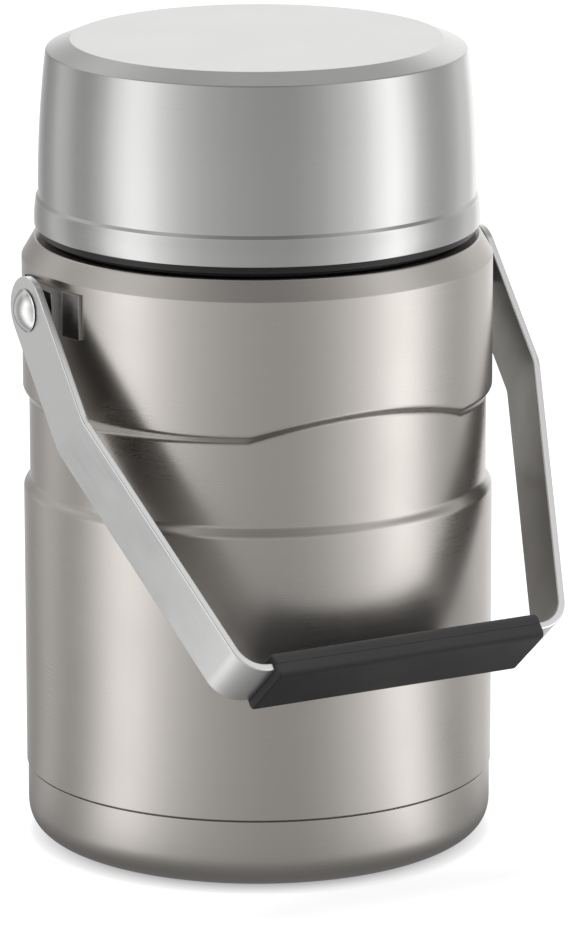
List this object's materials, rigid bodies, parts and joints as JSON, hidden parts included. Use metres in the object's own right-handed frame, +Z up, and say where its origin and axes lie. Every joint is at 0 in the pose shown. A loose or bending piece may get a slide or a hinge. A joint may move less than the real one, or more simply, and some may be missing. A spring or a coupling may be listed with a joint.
{
  "type": "insulated food jar",
  "caption": "Insulated steel food jar with a screw stopper, a steel serving bowl as its cap, stacked inner containers and a swinging flat-steel bail handle with a plastic grip.",
  "frame": {"origin": "centre of the ring that the jar stands on, at ground level", "axes": "+Z up along the jar's own axis, X along the handle's pivot axis, -Y to the front with the arched panel and the resting handle"},
  "size_m": [0.1442, 0.1449, 0.2164],
  "materials": {
    "body_steel": "fine brushed stainless steel, warm grey, with a satin sheen",
    "inner_steel": "plain drawn stainless steel",
    "solder": "dull grey solder",
    "getter_metal": "dull sintered metal",
    "copper_foil": "thin bright copper foil",
    "bracket_steel": "satin stainless steel",
    "rivet_steel": "polished stainless steel rivet",
    "washer_plastic": "black acetal",
    "strap_steel": "satin stainless strip with bright edges",
    "grip_plastic": "dark grey moulded plastic, fine matt texture",
    "container_plastic": "milky translucent polypropylene",
    "lid_plastic": "grey polypropylene",
    "seal_rubber": "pale grey silicone",
    "stopper_plastic": "black polypropylene",
    "foam": "pale insulating foam",
    "cap_steel": "fine circular-brushed stainless steel",
    "bowl_steel": "satin stainless steel"
  },
  "bodies": {
    "jar": {"outer_shell": "body_steel", "base_cup": "body_steel", "vacuum_plate": "inner_steel", "seal_plug": "solder", "getter": "getter_metal", "heat_foil": "copper_foil", "inner_vessel": "inner_steel", "left_bracket": "bracket_steel", "right_bracket": "bracket_steel", "handle_rivets": "rivet_steel", "pivot_washers": "washer_plastic"},
    "handle": {"handle_strap": "strap_steel", "grip_inner": "grip_plastic", "grip_outer": "grip_plastic"},
    "lower_container": {"lower_container": "container_plastic"},
    "lower_lid": {"lower_lid": "lid_plastic", "lower_lid_seal": "seal_rubber"},
    "upper_container": {"upper_container": "container_plastic"},
    "upper_lid": {"upper_lid": "lid_plastic", "upper_lid_seal": "seal_rubber"},
    "stopper_ring": {"stopper_seal": "seal_rubber"},
    "stopper": {"stopper_body": "stopper_plastic", "stopper_foam": "foam", "stopper_base": "stopper_plastic"},
    "cap_ring": {"cap_seal": "seal_rubber"},
    "cap": {"cap_shell": "cap_steel", "cap_liner": "bowl_steel", "cap_collar": "stopper_plastic"}
  },
  "joints": [
    {"name": "handle_swing", "type": "hinge", "parent": "jar", "child": "handle", "pos_m": [0, 0, 0.1504], "axis": [-1, 0, 0], "range_deg": [0, 280]},
    {"name": "lower_container_lift", "type": "slide", "parent": "jar", "child": "lower_container", "axis": [0, 0, 1], "range_m": [0, 0.18]},
    {"name": "lower_lid_lift", "type": "slide", "parent": "lower_container", "child": "lower_lid", "axis": [0, 0, 1], "range_m": [0, 0.03]},
    {"name": "upper_container_lift", "type": "slide", "parent": "lower_lid", "child": "upper_container", "axis": [0, 0, 1], "range_m": [0, 0.09]},
    {"name": "upper_lid_lift", "type": "slide", "parent": "upper_container", "child": "upper_lid", "axis": [0, 0, 1], "range_m": [0, 0.03]},
    {"name": "stopper_lift", "type": "slide", "parent": "upper_lid", "child": "stopper_ring", "axis": [0, 0, 1], "range_m": [0, 0.05]},
    {"name": "stopper_turn", "type": "hinge", "parent": "stopper_ring", "child": "stopper", "pos_m": [0, 0, 0.1701], "axis": [0, 0, 1], "range_deg": [0, 360]},
    {"name": "cap_lift", "type": "slide", "parent": "stopper", "child": "cap_ring", "axis": [0, 0, 1], "range_m": [0, 0.06]},
    {"name": "cap_turn", "type": "hinge", "parent": "cap_ring", "child": "cap", "pos_m": [0, 0, 0.19], "axis": [0, 0, 1], "range_deg": [0, 360]}
  ]
}
